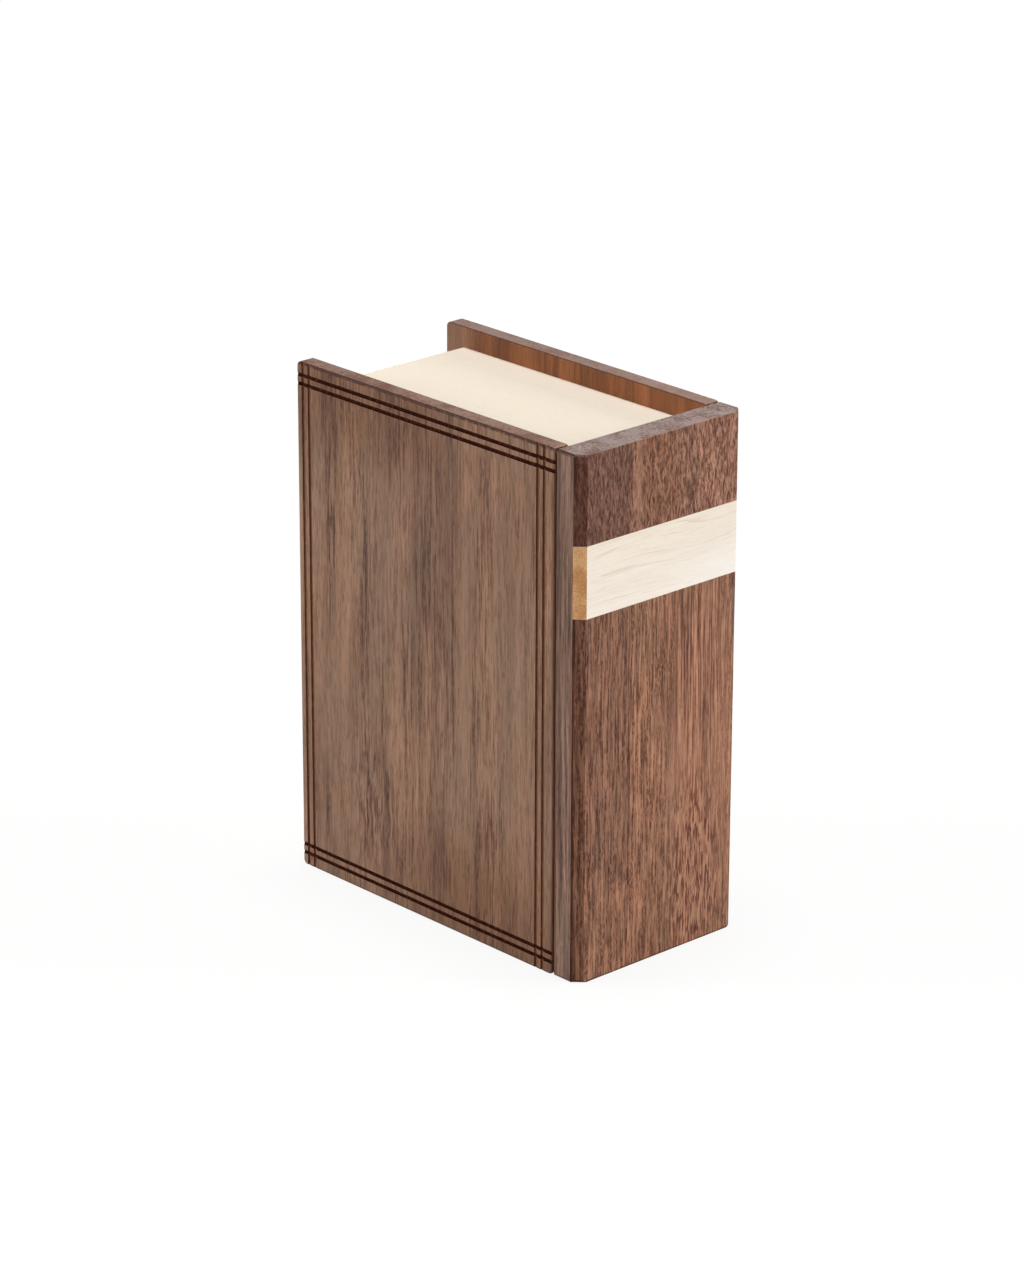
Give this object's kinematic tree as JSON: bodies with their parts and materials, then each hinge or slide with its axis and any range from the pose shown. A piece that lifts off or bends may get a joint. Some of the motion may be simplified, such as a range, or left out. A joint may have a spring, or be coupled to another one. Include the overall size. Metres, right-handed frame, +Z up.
{
  "type": "puzzle box",
  "caption": "Book-shaped puzzle box: the spine slides up to bare a hidden bolt that locks a sliding front cover over a keepsake compartment.",
  "frame": {"origin": "centre of the base, on the surface that the covers and the spine stand on", "axes": "+Z up along the spine, +X out of the spine, -X out of the fore edge, -Y out of the front cover, +Y out of the back cover"},
  "size_m": [0.1208, 0.0644, 0.16],
  "materials": {
    "walnut_cover": "oiled walnut, fine straight grain, satin",
    "walnut_core": "oiled walnut, satin",
    "walnut_spine": "oiled reddish walnut with open pores, satin",
    "maple_band": "oiled pale maple, satin",
    "maple_block": "oiled maple, smooth satin",
    "beech_dowel": "plain turned beech",
    "brass": "bright brass",
    "nickel": "nickel plated"
  },
  "bodies": {
    "carcass": {"back_cover": "walnut_cover", "page_head": "maple_block", "page_tail": "maple_block", "fore_edge_board": "maple_block", "inner_spine_wall": "maple_block", "floor_panel": "maple_block", "corner_dowels": "beech_dowel", "spine_key": "walnut_core", "spine_key_screws": "brass", "spine_stop_pin": "brass", "bolt_stop_pin": "brass", "carcass_magnets": "nickel"},
    "spine": {"spine_core": "walnut_core", "spine_face_upper": "walnut_spine", "label_band": "maple_band", "spine_face_lower": "walnut_spine", "spine_magnets": "nickel"},
    "front_cover": {"front_cover": "walnut_cover", "lid_panel": "maple_block", "cover_magnets": "nickel", "lid_stop_pins": "brass"},
    "lock_bolt": {"lock_bolt": "walnut_core"}
  },
  "joints": [
    {"name": "spine_slide", "type": "slide", "parent": "carcass", "child": "spine", "axis": [0, 0, 1], "range_m": [0, 0.03]},
    {"name": "cover_slide", "type": "slide", "parent": "carcass", "child": "front_cover", "axis": [-1, 0, 0], "range_m": [0, 0.088]},
    {"name": "bolt_slide", "type": "slide", "parent": "carcass", "child": "lock_bolt", "axis": [0, -1, 0], "range_m": [0, 0.005]}
  ]
}
